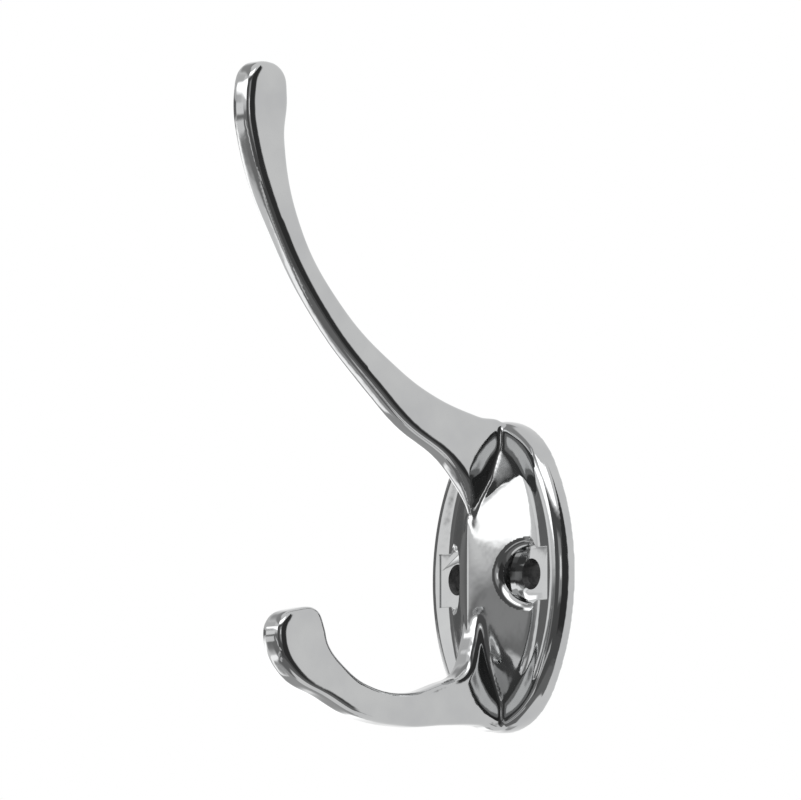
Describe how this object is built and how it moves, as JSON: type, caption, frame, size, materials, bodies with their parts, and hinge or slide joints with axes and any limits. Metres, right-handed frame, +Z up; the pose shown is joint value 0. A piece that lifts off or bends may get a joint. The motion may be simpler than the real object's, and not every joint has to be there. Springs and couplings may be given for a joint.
{
  "type": "hat hook",
  "caption": "One-piece cast hat and coat hook in polished chrome: oval domed wall plate with screw seats, a long upper arm for hats and a short upturned lower hook for coats.",
  "frame": {"origin": "midway between the screw holes, on the plane of the plate's flat back, which is the wall", "axes": "+X across the plate, +Y into the wall, so the arms reach towards -Y, and +Z up"},
  "size_m": [0.0426, 0.0641, 0.1274],
  "materials": {
    "chrome": "polished chrome plating over cast zinc"
  },
  "bodies": {
    "root": {"hat_hook": "chrome"}
  },
  "joints": []
}
